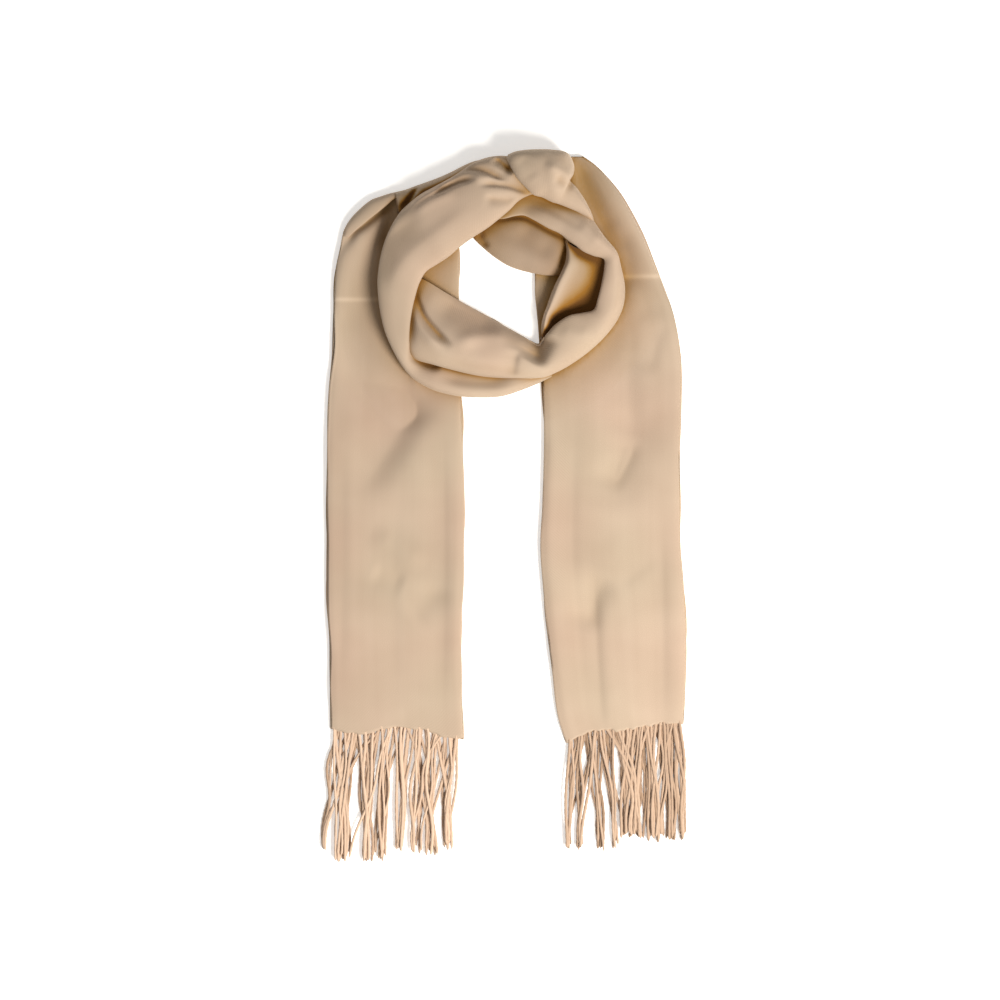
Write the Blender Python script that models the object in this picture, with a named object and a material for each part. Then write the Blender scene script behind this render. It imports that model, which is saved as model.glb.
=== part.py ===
"""A pashmina shawl, folded lengthwise, wound once into a neck loop and laid flat.

Both tails lie on the floor side by side. The loop lies over them as a heap of
rounded stretches around an open neck hole: each stretch is a loft of sections
across its run, and rests on the stretches that were laid before it. +X runs to
the right tail, +Y runs from the hems to the loop, and +Z is up. The tables give
millimetres, from the middle of the outline on the floor.
"""

import math
from collections import namedtuple

import bmesh
import bpy
from mathutils import Vector
from mathutils.bvhtree import BVHTree

MM = 0.001

# The cloth and its folds
LAYERS = 5  # layers in each folded tail
LAYER = 1.6  # height of one soft layer
TAIL = LAYERS * LAYER  # height of a folded tail
FOLD_DENT = 1.3  # how far the grooves between two layers run in
SEAM = 0.3  # gap between two pieces that lie on each other
THINNEST = 2.0  # least thickness of a stretch
UNDER_STEP = 6.5  # distance between two points under a section
TAIL_STEP = 26.0  # greatest distance between two sections of a tail
TAIL_TOP_POINTS = 9  # points over the top of a section of a tail

# The sections of the loop
STEP = 9.5  # greatest distance between two sections
TOP_POINTS = 11  # points over the top of a section
LIP = 7.0  # height of the layered edge of a stretch
REACH = 7.5  # how far round a point the stretches below it are felt for
ROUNDNESS = 2.4  # 2 is an ellipse, and more is squarer

# The fringe
STRIP_DEPTH = 4.0  # from the hem to the roots of the strands
STRAND_ROWS = 4  # rows of strands, one above the other
STRANDS = 11  # strands in each row
STRAND_WIDTH = 1.5
STRAND_TIP = 1.1
STRAND_PARTS = 4  # straight parts along a strand
ROW_PITCH_AT_TIP = 1.6  # the rows settle to this distance
LOWEST_STRAND = 1.0  # height of the middle of the lowest row at its tips

CREAM = "#D8C3A2"
WARM = "#D2BA96"
SHADED = "#C6AF8C"
FRINGE = "#CDB692"

# A section of a tail: its edge beside the hole and gap, its outer edge, and how
# much of its full height it has, as it thins out under the loop.
Hem = namedtuple("Hem", "in_x in_y out_x out_y full", defaults=(1,))

# A section of a looped stretch: both edges, the height of its crown over the
# floor, where the crown lies across it (0 is the inner edge, 1 the outer), and
# how far its middle runs ahead of its edges.
Roll = namedtuple("Roll", "in_x in_y out_x out_y crown lean bow", defaults=(0,))

# A crease in the top of a piece: a soft trough along a line. A ridge is a
# crease of negative depth.
Crease = namedtuple("Crease", "x0 y0 x1 y1 width depth")

# One row of the fringe: how far its tips drift to +X, the size of its waves,
# and the mean length of its strands.
Spray = namedtuple("Spray", "drift wave length")

TAIL_LEFT = [
    Hem(-35, -207.5, -159, -207.5),
    Hem(-38, -136.5, -160, -136.5),
    Hem(-37, -95, -162, -95),
    Hem(-35, -2.5, -163, -2.5),
    Hem(-37, 88.5, -162, 88.5),
    Hem(-39, 145.5, -157, 145.5),
    Hem(-40, 201, -156, 201),
    Hem(-39, 236.5, -151.5, 239),
    Hem(-40, 247.5, -139, 256, 0.9),
    Hem(-43.5, 258.5, -120, 271, 0.5),
    Hem(-51, 268.5, -103.5, 283.5, 0.2),
]
TAIL_LEFT_CREASES = [
    Crease(-72, 95, -111, 39, 9, 2.0),
    Crease(-111, 39, -120, 22, 7, 1.0),
    Crease(-78, -44, -99, -103, 10, 0.9),
    Crease(-113, -28, -78, -48, 7, -0.9),
    Crease(-156, 191, -115, 194, 2.5, -0.7),
    Crease(-127, 250, -122, 120, 8, 1.2),
]

TAIL_RIGHT = [
    Hem(60, -220.5, 168.5, -199.5),
    Hem(52.5, -192, 169, -178),
    Hem(41.5, -113.5, 170.5, -113.5),
    Hem(36, -34.5, 165.5, -34.5),
    Hem(40, 53, 164.5, 53),
    Hem(37, 122.5, 166.5, 125.5),
    Hem(33, 181, 159, 179),
    Hem(31.5, 206, 151, 201),
    Hem(34, 247.5, 132.5, 242),
    Hem(46, 291, 109, 288, 0.8),
    Hem(62, 317.5, 77, 320.5, 0.25),
]
TAIL_RIGHT_CREASES = [
    Crease(86, -94, 90, -206, 9, 1.5),
    Crease(146, -39, 149, -215, 8, 1.3),
    Crease(82, -89, 130, -48, 8, 1.0),
    Crease(102, 58, 121, 23, 7, 1.0),
    Crease(112, 208, 148, 212, 2.5, -0.7),
    Crease(94, 275, 108, 236, 8, 1.6),
]

SHOULDER_FOLD = [
    Roll(-146, 238, -153.5, 236, 10.5, 0.5),
    Roll(-141, 248, -151.5, 248, 13, 0.5),
    Roll(-133, 256, -147, 262, 15, 0.5),
    Roll(-123, 262.5, -139, 274.5, 17, 0.5),
    Roll(-112, 272, -126, 283.5, 17, 0.5),
    Roll(-101, 279, -109, 289.5, 16, 0.5),
    Roll(-92, 277, -95.5, 293, 15, 0.55),
    Roll(-84, 276, -81.5, 297.5, 14, 0.6),
    Roll(-72, 279, -66.5, 304, 14, 0.6),
    Roll(-56, 289, -52, 312, 14, 0.6),
    Roll(-41, 299, -39, 317.5, 14, 0.6),
    Roll(-29, 308, -28, 321.5, 13, 0.5),
    Roll(-18, 315, -16.5, 324, 12, 0.5),
]

NAPE_STRETCH = [
    Roll(-30, 250, -20, 264, 13, 0.5),
    Roll(-21, 243, -8, 268, 16, 0.5),
    Roll(-10, 236, 3, 272, 18, 0.55),
    Roll(1, 228.5, 14, 273, 19, 0.55),
    Roll(16.5, 221.5, 28, 271, 20, 0.55),
    Roll(31.5, 217, 43, 264, 20, 0.55),
    Roll(43.5, 215, 56, 257, 19, 0.5),
    Roll(53.5, 216, 63, 248, 17, 0.5),
]

INNER_FOLD = [
    Roll(59, 246, 68, 238.5, 22, 0.4),
    Roll(57.5, 233.5, 86, 231, 25, 0.26),
    Roll(54.5, 219.5, 96, 222, 27, 0.22),
    Roll(50.5, 206, 95, 206, 27, 0.22),
    Roll(45, 192, 92, 190, 27, 0.24),
    Roll(40.5, 178, 74, 175, 26, 0.3),
    Roll(37.5, 165, 54, 160, 24, 0.4),
    Roll(35.5, 154, 43, 150, 21, 0.5),
]

LOOP_RIM = [
    Roll(-84, 141, -93.5, 130, 24, 0.6),
    Roll(-70, 138, -81.5, 117, 23, 0.65),
    Roll(-55, 133, -65.5, 108, 22, 0.65),
    Roll(-39, 130, -45.5, 103, 21, 0.65),
    Roll(-20, 128, -24, 101.5, 20, 0.65),
    Roll(-1, 126, -3, 103, 19, 0.65),
    Roll(18, 124, 16.5, 108.5, 17, 0.6),
    Roll(32, 120, 31, 112.5, 14, 0.5),
]

LOOP_FRONT = [
    Roll(2, 267, 10, 279, 23, 0.5),
    Roll(17.5, 267.5, 25, 285, 26, 0.5),
    Roll(31.5, 261.5, 45, 284, 29, 0.5),
    Roll(45.5, 255, 65, 279, 31, 0.5),
    Roll(59, 246.5, 82, 268, 32, 0.5),
    Roll(71, 233.5, 91.5, 249, 32, 0.5),
    Roll(82, 227.5, 102.5, 232.5, 31, 0.5),
    Roll(90, 217.5, 111, 218, 31, 0.5),
    Roll(89, 201, 114.5, 199.5, 31, 0.5),
    Roll(86, 186, 110, 182, 31, 0.5),
    Roll(76, 180, 100, 165, 31, 0.5),
    Roll(61, 173.5, 83, 145.5, 31, 0.5),
    Roll(46, 160, 61, 130, 31, 0.5),
    Roll(35, 148.5, 40.5, 117, 30, 0.5),
    Roll(19.5, 158, 19.5, 117.5, 31, 0.35),
    Roll(3, 167.5, -2, 119, 32, 0.3),
    Roll(-15.5, 178, -22, 120.5, 33, 0.4),
    Roll(-35, 188.5, -43.5, 123, 33, 0.58),
    Roll(-53.5, 199.5, -65.5, 129, 30, 0.7),
    Roll(-70, 209, -80.5, 139.5, 23, 0.7, -3),
    Roll(-77, 212, -87, 151, 17, 0.6, -4),
]
LOOP_FRONT_CREASES = [
    Crease(34, 147, 40, 134, 9, 9),
    Crease(-80, 195, -68, 170, 4.5, 5),
    Crease(-68, 170, -46, 150, 4.5, 4),
    Crease(13, 141, 9, 122, 4, 1.6),
    Crease(-46, 150, -2, 160, 10, -2.5),
]

LOOP_LEFT = [
    Roll(37, 280.5, 9, 323.5, 33, 0.5),
    Roll(18.5, 281.5, -5.5, 324, 34, 0.5),
    Roll(3.5, 271.5, -22, 320.5, 35, 0.5),
    Roll(-12, 256.5, -42.5, 305.5, 36, 0.5),
    Roll(-28.5, 247, -67.5, 288, 36, 0.5),
    Roll(-46, 234.5, -89.5, 272.5, 36, 0.5),
    Roll(-62, 223.5, -105.5, 251, 35, 0.5),
    Roll(-73, 210.5, -113.5, 223.5, 35, 0.5),
    Roll(-80.5, 193, -114.5, 199.5, 34, 0.5),
    Roll(-84, 175.5, -112.5, 174.5, 32, 0.5),
    Roll(-85, 157.5, -105.5, 151, 29, 0.5),
    Roll(-84.3, 141.4, -93.8, 130.4, 24, 0.5),
]
LOOP_LEFT_CREASES = [
    Crease(-28, 307, -19, 306, 4, 4),
    Crease(-19, 306, 7, 303, 4, 6),
    Crease(-85, 281, -70, 288, 4, 3),
    Crease(-70, 288, -37, 299, 4, 4),
    Crease(-22, 296, 14, 292, 4, 4),
    Crease(14, 292, 26, 290, 4, 4),
    Crease(-15, 285, 12, 284, 4, 3),
    Crease(-5, 321, 7, 316, 4, 6),
]

KNUCKLE = [
    Roll(3, 318, 11, 325.5, 36, 0.5),
    Roll(11, 307, 26, 328.5, 42, 0.5),
    Roll(20.5, 296, 44.5, 330, 46, 0.5),
    Roll(33.5, 285, 62, 326, 48, 0.5),
    Roll(46, 277, 67, 311.5, 47, 0.5),
    Roll(59, 271, 73, 291, 43, 0.5),
    Roll(69, 266.5, 78.5, 276, 38, 0.5),
    Roll(76, 263.5, 81.5, 268.5, 35, 0.5),
]
KNUCKLE_CREASES = [
    Crease(44, 319, 63, 305, 5, 3.5),
    Crease(22, 322, 37, 300, 5, -2),
]

FRINGE_LEFT = [
    Spray(-15, 3.0, 104),
    Spray(7, 3.4, 109),
    Spray(-2, 3.2, 112.5),
    Spray(9, 3.0, 102),
]
FRINGE_RIGHT = [
    Spray(-4, 2.0, 95),
    Spray(2, 2.4, 99),
    Spray(-7, 2.2, 94),
    Spray(0, 2.0, 100),
]


def clear_scene():
    for old in list(bpy.data.objects):
        bpy.data.objects.remove(old)


def new_collection(name):
    collection = bpy.data.collections.new(name)
    bpy.context.scene.collection.children.link(collection)
    return collection


def linear(hex_colour):
    """An sRGB hex colour as linear RGBA."""
    channels = [int(hex_colour[i : i + 2], 16) / 255 for i in (1, 3, 5)]
    return [((c + 0.055) / 1.055) ** 2.4 if c > 0.04 else c / 12.92 for c in channels] + [1]


def cloth_material(name, hex_colour):
    material = bpy.data.materials.new(name)
    material.use_nodes = True
    shader = material.node_tree.nodes["Principled BSDF"]
    shader.inputs["Base Color"].default_value = linear(hex_colour)
    shader.inputs["Roughness"].default_value = 0.9
    shader.inputs["Metallic"].default_value = 0.0
    shader.inputs["Sheen Weight"].default_value = 0.4
    return material


def add_piece(name, bm, hex_colour, collection):
    """Puts a finished bmesh in the collection as one object, and returns it."""
    mesh = bpy.data.meshes.new(name)
    bm.to_mesh(mesh)
    bm.free()
    mesh.materials.append(cloth_material(name + "_cloth", hex_colour))
    piece = bpy.data.objects.new(name, mesh)
    collection.objects.link(piece)
    return piece


def smooth_rows(rows, step):
    """A smooth run of rows through the given ones, no further apart than step.

    Every column follows a Catmull-Rom curve of its own.
    """
    kind = type(rows[0])
    padded = [rows[0], *rows, rows[-1]]
    run = []
    for before, start, end, after in zip(padded, padded[1:], padded[2:], padded[3:]):
        inner = math.hypot(end.in_x - start.in_x, end.in_y - start.in_y)
        outer = math.hypot(end.out_x - start.out_x, end.out_y - start.out_y)
        parts = max(1, math.ceil(max(inner, outer) / step))
        for part in range(parts):
            t = part / parts
            run.append(kind(*(catmull_rom(t, *four) for four in zip(before, start, end, after))))
    run.append(rows[-1])
    return run


def catmull_rom(t, before, start, end, after):
    a = 2 * start
    b = end - before
    c = 2 * before - 5 * start + 4 * end - after
    d = 3 * start - before - 3 * end + after
    return 0.5 * (a + b * t + c * t * t + d * t**3)


def crease_depth(x, y, creases):
    """How far the creases of a piece lower its top at (x, y)."""
    depth = 0.0
    for crease in creases:
        start = Vector((crease.x0, crease.y0))
        run = Vector((crease.x1, crease.y1)) - start
        here = Vector((x, y))
        along = max(0.0, min(1.0, (here - start).dot(run) / run.length_squared))
        off = (here - start - run * along).length
        depth += crease.depth * math.exp(-((off / crease.width) ** 2))
    return depth


def loft(rings):
    """A closed body through rings of equally many points, in millimetres."""
    bm = bmesh.new()
    loops = [[bm.verts.new(Vector(point) * MM) for point in ring] for ring in rings]
    count = len(rings[0])
    for loop, following in zip(loops, loops[1:]):
        for i in range(count):
            j = (i + 1) % count
            bm.faces.new((loop[i], loop[j], following[j], following[i]))
    bm.faces.new(reversed(loops[0]))
    bm.faces.new(loops[-1])
    if bm.calc_volume(signed=True) < 0:
        bmesh.ops.reverse_faces(bm, faces=bm.faces)
    return bm


def tail_section(row, creases):
    """A ring round a stack of folded layers: flat below, and one bulge a layer at each edge."""
    inner = Vector((row.in_x, row.in_y))
    across = Vector((row.out_x, row.out_y)) - inner
    width = across.length
    dent = min(FOLD_DENT, 0.1 * width) / width
    side = [(dent, 0.0)]
    for layer in range(LAYERS):
        side.append((0.0, (layer + 0.5) * LAYER))
        if layer < LAYERS - 1:
            side.append((dent, (layer + 1) * LAYER))
    top_steps = TAIL_TOP_POINTS - 1
    top = [(dent + (1 - 2 * dent) * i / top_steps, TAIL) for i in range(top_steps + 1)]
    outline = side + top + [(1 - u, z) for u, z in reversed(side)]
    ring = []
    for u, z in outline:
        x, y = inner + across * u
        if z == TAIL:
            z -= crease_depth(x, y, creases) * math.sin(math.pi * u) ** 0.5
        ring.append((x, y, z * row.full))
    return ring


def floor_under(supports):
    """A function that gives the height of the highest support close to (x, y)."""
    points = []
    faces = []
    for piece in supports:
        first = len(points)
        points += [vertex.co / MM for vertex in piece.data.vertices]
        faces += [[first + i for i in face.vertices] for face in piece.data.polygons]
    if not faces:
        return lambda x, y: 0.0
    tree = BVHTree.FromPolygons(points, faces)
    round_it = [(0.0, 0.0)]
    for turn in range(16):
        angle = turn * math.tau / 8
        reach = REACH if turn < 8 else REACH / 2
        round_it.append((reach * math.cos(angle), reach * math.sin(angle)))

    def height(x, y):
        best = 0.0
        for dx, dy in round_it:
            hit = tree.ray_cast(Vector((x + dx, y + dy, 500.0)), Vector((0, 0, -1)))[0]
            if hit is not None:
                best = max(best, hit.z)
        return best

    return height


def roll_section(row, ahead, under, under_points, creases):
    """A ring round a rounded stretch: crowned above, and lying on what is below it."""
    inner = Vector((row.in_x, row.in_y))
    across = Vector((row.out_x, row.out_y)) - inner
    width = across.length

    def place(u):
        return inner + across * u + ahead * (row.bow * 4 * u * (1 - u))

    def resting(u):
        height = under(*place(u))
        return height + SEAM if height > 0 else 0.0

    lip_in = min(LIP, 0.45 * (row.crown - resting(0)))
    lip_out = min(LIP, 0.45 * (row.crown - resting(1)))
    edge_in = resting(0) + lip_in
    edge_out = resting(1) + lip_out
    skew = math.log(0.5) / math.log(row.lean)
    ring = []
    for i in range(TOP_POINTS):
        u = 0.5 - 0.5 * math.cos(math.pi * i / (TOP_POINTS - 1))
        hump = max(0.0, 1 - abs(2 * u**skew - 1) ** ROUNDNESS) ** (1 / ROUNDNESS)
        edge = edge_in + (edge_out - edge_in) * u
        x, y = place(u)
        z = edge + (row.crown - edge) * hump
        z -= crease_depth(x, y, creases) * hump
        ring.append((x, y, max(z, resting(u) + THINNEST)))
    dent = min(FOLD_DENT, 0.1 * width) / width
    tuck = min(2 * FOLD_DENT, 0.2 * width) / width
    ring.append((*place(1 - dent), edge_out - 0.45 * lip_out))
    ring.append((*place(1), edge_out - 0.7 * lip_out))
    for i in range(under_points):
        u = 1 - tuck - (1 - 2 * tuck) * i / (under_points - 1)
        ring.append((*place(u), resting(u)))
    ring.append((*place(0), edge_in - 0.7 * lip_in))
    ring.append((*place(dent), edge_in - 0.45 * lip_in))
    return ring


def add_tail(name, rows, creases, hex_colour, collection):
    rings = [tail_section(row, creases) for row in smooth_rows(rows, TAIL_STEP)]
    return add_piece(name, loft(rings), hex_colour, collection)


def add_roll(name, rows, supports, hex_colour, collection, creases=()):
    """A looped stretch that lies on the floor and on its supports."""
    run = smooth_rows(rows, STEP)
    widest = max(math.hypot(row.out_x - row.in_x, row.out_y - row.in_y) for row in rows)
    under_points = max(3, math.ceil(widest / UNDER_STEP) + 1)
    under = floor_under(supports)
    middles = [Vector((row.in_x + row.out_x, row.in_y + row.out_y)) / 2 for row in run]
    rings = []
    for i, row in enumerate(run):
        ahead = middles[min(i + 1, len(run) - 1)] - middles[max(i - 1, 0)]
        rings.append(roll_section(row, ahead.normalized(), under, under_points, creases))
    return add_piece(name, loft(rings), hex_colour, collection)


def add_fringe(name, hem_start, hem_end, rows, hex_colour, collection):
    """A narrow strip along a hem, with rows of strands that grow out of its far side.

    It is made along its own X axis, and then sheared to the slope of the hem, so
    that the strands still run straight down from it.
    """
    width = hem_end[0] - hem_start[0]
    slope = (hem_end[1] - hem_start[1]) / width
    cell = width / STRANDS
    bm = bmesh.new()
    bmesh.ops.create_cube(bm, size=1)
    for vertex in bm.verts:
        vertex.co.x = (vertex.co.x + 0.5) * width
        vertex.co.y = (vertex.co.y - 0.5) * STRIP_DEPTH
        vertex.co.z = (vertex.co.z + 0.5) * TAIL
    for column in range(1, STRANDS):
        cut_across(bm, (column * cell, 0, 0), (1, 0, 0))
    for level in range(1, STRAND_ROWS):
        cut_across(bm, (0, 0, level * TAIL / STRAND_ROWS), (0, 0, 1))
    roots = [face for face in bm.faces if face.normal.y < -0.9]
    for face in roots:
        middle = face.calc_center_median()
        column = int(middle.x / cell)
        level = int(middle.z / TAIL * STRAND_ROWS)
        grow_strand(bm, face, middle, column, level, rows[level])
    for vertex in bm.verts:
        vertex.co.y += slope * vertex.co.x
        vertex.co *= MM
    strip = add_piece(name, bm, hex_colour, collection)
    strip.location = (hem_start[0] * MM, (hem_start[1] - SEAM) * MM, 0)


def cut_across(bm, point, normal):
    everything = bm.verts[:] + bm.edges[:] + bm.faces[:]
    bmesh.ops.bisect_plane(bm, geom=everything, dist=1e-6, plane_co=point, plane_no=normal)


def grow_strand(bm, face, root, column, level, spray):
    """Draws one face of the strip out into a strand, along a path of its own.

    Strands of one row bend alike, so that they never touch, and cross those of
    the other rows, which lie above and below them.
    """
    bmesh.ops.inset_individual(bm, faces=[face], thickness=0.2)
    corners = [math.copysign(1, (v.co - root).x) for v in face.verts]
    heights = [math.copysign(1, (v.co - root).z) for v in face.verts]
    turn = column * 2.4 + level * 1.7
    length = spray.length * (1 + 0.05 * math.sin(turn * 1.9))
    drift = spray.drift + 2.0 * math.sin(turn)
    low = LOWEST_STRAND + level * ROW_PITCH_AT_TIP
    for part in range(STRAND_PARTS + 1):
        t = part / STRAND_PARTS
        if part:
            face = bmesh.ops.extrude_discrete_faces(bm, faces=[face])["faces"][0]
        half = 0.5 * (STRAND_WIDTH + (STRAND_TIP - STRAND_WIDTH) * t)
        swing = spray.wave * math.sin(math.tau * (0.9 * t + 0.06 * column + 0.3 * level)) * t
        middle = Vector(
            (
                root.x + drift * t * t + swing,
                -STRIP_DEPTH - length * t,
                root.z + (low - root.z) * min(1.0, 2.5 * t),
            )
        )
        for vertex, side, up in zip(face.verts, corners, heights):
            vertex.co = middle + Vector((side * half, 0, up * min(half, 0.6)))


def build():
    clear_scene()
    shawl = new_collection("pashmina_shawl")
    left = add_tail("tail_left", TAIL_LEFT, TAIL_LEFT_CREASES, CREAM, shawl)
    right = add_tail("tail_right", TAIL_RIGHT, TAIL_RIGHT_CREASES, CREAM, shawl)
    shoulder = add_roll("shoulder_fold", SHOULDER_FOLD, [left], SHADED, shawl)
    nape = add_roll("nape_stretch", NAPE_STRETCH, [right], WARM, shawl)
    fold = add_roll("inner_fold", INNER_FOLD, [right, nape], SHADED, shawl)
    rim = add_roll("loop_rim", LOOP_RIM, [left], WARM, shawl)
    below_front = [left, right, nape, fold, rim]
    front = add_roll("loop_front", LOOP_FRONT, below_front, CREAM, shawl, LOOP_FRONT_CREASES)
    below_left = [left, shoulder, nape, front]
    band = add_roll("loop_left", LOOP_LEFT, below_left, CREAM, shawl, LOOP_LEFT_CREASES)
    below_knuckle = [right, shoulder, front, band]
    add_roll("knuckle", KNUCKLE, below_knuckle, CREAM, shawl, KNUCKLE_CREASES)
    hem = TAIL_LEFT[0]
    start, end = (hem.out_x, hem.out_y), (hem.in_x, hem.in_y)
    add_fringe("fringe_left", start, end, FRINGE_LEFT, FRINGE, shawl)
    hem = TAIL_RIGHT[0]
    start, end = (hem.in_x, hem.in_y), (hem.out_x, hem.out_y)
    add_fringe("fringe_right", start, end, FRINGE_RIGHT, FRINGE, shawl)


build()
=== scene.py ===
"""A pashmina shawl, folded lengthwise, wound once into a neck loop and laid flat.

+X runs to the right tail, +Y from the fringe to the loop and +Z up. The tables
give millimetres, from the middle of the outline on the floor.
"""

import bpy
import numpy as np
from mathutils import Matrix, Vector


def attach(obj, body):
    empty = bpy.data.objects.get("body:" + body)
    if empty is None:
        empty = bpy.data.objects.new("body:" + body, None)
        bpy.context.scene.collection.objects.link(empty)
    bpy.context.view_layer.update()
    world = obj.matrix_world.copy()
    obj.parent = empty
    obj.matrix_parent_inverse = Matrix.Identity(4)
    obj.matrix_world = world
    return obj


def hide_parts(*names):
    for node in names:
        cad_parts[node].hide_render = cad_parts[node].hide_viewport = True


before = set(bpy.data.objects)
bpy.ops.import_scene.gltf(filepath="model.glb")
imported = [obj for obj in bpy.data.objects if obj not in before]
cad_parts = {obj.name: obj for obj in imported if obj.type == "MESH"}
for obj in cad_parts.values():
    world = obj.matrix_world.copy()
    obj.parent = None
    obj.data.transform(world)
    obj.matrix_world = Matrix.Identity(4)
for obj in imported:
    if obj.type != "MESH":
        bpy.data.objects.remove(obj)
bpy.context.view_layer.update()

# Studio: a white table top of opal acrylic, lit a little from below so that shadows on
# it stay faint, a large soft light from the lower right, a fainter one from the upper
# left, and a long lens straight above the middle of the shawl.
FLOOR_WHITE = "#F6F5F3"
FLOOR_GLOW = 0.45
FLOOR_HALF = 9
AIR_LIGHT = 0.36
VIEW_MIDDLE = (-0.00185, 0.0069)
VIEW_WIDTH = 0.925  # as seen at the height below, about that of the tails' top
VIEW_HEIGHT = 0.01
LENS_MM = 150
SENSOR_MM = 36


def linear(hex_colour):
    """An sRGB hex colour as linear RGBA: each channel goes through the sRGB curve."""
    channels = [int(hex_colour[i : i + 2], 16) / 255 for i in (1, 3, 5)]
    return [((c + 0.055) / 1.055) ** 2.4 if c > 0.04 else c / 12.92 for c in channels] + [1.0]


def add_node(tree, kind, settings=None, links=None, stops=()):
    """Adds a node. Settings and links go to its input sockets, by name or by number.

    A setting with a leading dot goes to the node itself, and stops are the places and
    colours along a colour ramp.
    """
    node = tree.nodes.new(kind)
    for name, value in (settings or {}).items():
        if str(name).startswith("."):
            setattr(node, name[1:], value)
        else:
            node.inputs[name].default_value = value
    for name, output in (links or {}).items():
        tree.links.new(output, node.inputs[name])
    if stops:
        elements = node.color_ramp.elements
        while len(elements) < len(stops):
            elements.new(0.5)
        for element, (place, colour) in zip(elements, stops):
            element.position = place
            element.color = linear(colour)
    return node


def new_material(name, finish):
    """A material, its node tree and its Principled shader, whose sockets take the finish."""
    material = bpy.data.materials.new(name)
    material.use_nodes = True
    shader = material.node_tree.nodes["Principled BSDF"]
    for socket, value in finish.items():
        shader.inputs[socket].default_value = value
    return material, material.node_tree, shader


def new_object(name, data):
    """An object at the origin, in the scene's own collection."""
    made = bpy.data.objects.new(name, data)
    bpy.context.scene.collection.objects.link(made)
    return made


def soft_light(name, place, size, power, hex_colour):
    """A round softbox that faces the shawl. Its power is in watts."""
    light = bpy.data.lights.new(name, "AREA")
    light.shape = "DISK"
    light.size = size
    light.energy = power
    light.color = linear(hex_colour)[:3]
    lamp = new_object(name, light)
    lamp.location = place
    lamp.rotation_euler = (-Vector(place)).to_track_quat("-Z", "Y").to_euler()


floor_mesh = bpy.data.meshes.new("table_top")
corners = [(x * FLOOR_HALF, y * FLOOR_HALF, 0) for x, y in ((-1, -1), (1, -1), (1, 1), (-1, 1))]
floor_mesh.from_pydata(corners, [], [(0, 1, 2, 3)])
floor = new_object("table_top", floor_mesh)
opal, _, _ = new_material(
    "opal_acrylic_sheet",
    {
        "Base Color": linear(FLOOR_WHITE),
        "Roughness": 0.8,
        "Emission Color": linear(FLOOR_WHITE),
        "Emission Strength": FLOOR_GLOW,
    },
)
floor_mesh.materials.append(opal)

soft_light("key_softbox", (1.0, -0.82, 1.5), 0.85, 68, "#FFFBF5")
soft_light("fill_softbox", (-1.9, 0.9, 2.2), 2.2, 4, "#F4F4FF")
world = bpy.data.worlds.new("studio_air")
world.use_nodes = True
world.node_tree.nodes["Background"].inputs["Color"].default_value = linear("#FFFDFA")
world.node_tree.nodes["Background"].inputs["Strength"].default_value = AIR_LIGHT
bpy.context.scene.world = world
bpy.context.scene.view_settings.view_transform = "Standard"

camera_data = bpy.data.cameras.new("camera")
camera_data.lens = LENS_MM
camera_data.sensor_width = SENSOR_MM
camera = new_object("camera", camera_data)
camera.location = (*VIEW_MIDDLE, VIEW_HEIGHT + VIEW_WIDTH * LENS_MM / SENSOR_MM)
bpy.context.scene.camera = camera

# Left tail: the end of the shawl that hangs on the wearer's right. Twill of fine
# wool and viscose, folded lengthwise into five layers and pressed flat by hand.
MM = 0.001
CLOTH = 1.0  # thickness of the soft twill
TAIL_LAYERS = 5
TAIL_PITCH = 1.75  # from one layer of a tail to the next
TAIL_TOP = CLOTH + (TAIL_LAYERS - 1) * TAIL_PITCH
TAIL_STEP = 2.6  # between two rows of points along a tail
TOP_COLUMNS = 84  # points across the top layer, which shows
HIDDEN_COLUMNS = 22
FOLD_POINTS = 5  # round the fold from one layer to the next
FOLD_SET_IN = 1.1  # of a layer's folds from the outline, on average
EDGE_PRESS = 1.3  # how far a hand has pressed the edges down
EDGE_REACH = 4.0
HIGHEST_RIDGE = 6.0  # most that the ridges may raise the top layer
DEEPEST_CREASE = 6.6  # most that the creases may lower it
LOWER_DIP = 0.35  # share of a dip by which the lower layers go down further
LAYER_GAP = 1.1  # from the middle of one layer to the next, in thicknesses of the cloth
TAIL_RIPPLE = 0.35
HEM_REACH = 16.0  # how far up the tail the hem's own line is followed
HEM_WAVE = 1.5
CREASE_STEP = 3.0  # between two points along a crease
CREASE_FADE = 0.3  # share of a crease over which each of its ends fades
NO_PACKING = 1000.0  # a packing line far off the cloth
LIT_CREAM = "#B3A08D"
DULL_CREAM = "#A4907D"
GREEN_CAST = "#FBFDFA"  # the dye took a little unevenly, over a hand's breadth
ROSE_CAST = "#FFFAF9"
CASTS_PER_METRE = 9.0
CLOUDS_PER_METRE = 16.0
NAP_PER_METRE = 900.0  # fuzz of fine fibres
# Painted highlight: a lighter line along the packing fold, where its crease catches the light
CREASE_HIGHLIGHT_CREAM = "#D8C4AE"
CREASE_HIGHLIGHT_MM = 2.2  # half the breadth of the painted highlight along the packing fold
CREASE_HIGHLIGHT_SHARE = 0.3
WARP_PITCH_MM = 1.3  # the real threads lie 0.4 mm apart, drawn coarser so that they show
SLUB_MM = 13.0  # breadth of a slub, a thicker place in the yarn
SLUB_LENGTH = 28  # times its breadth
WAVE_SCALE = 314.0  # of a wave texture with a rib for every 2 mm
# Painted shade: the tint that darkens a place in a fold, by the share of sky hidden from it
FOLD_SHADE_TINTS = [
    (0.0, "#FFFFFF"),
    (0.06, "#F6F2EC"),
    (0.2, "#E8DCC8"),
    (0.34, "#D9C08C"),
    (0.52, "#C4993C"),
    (0.85, "#916A2A"),
]
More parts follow.
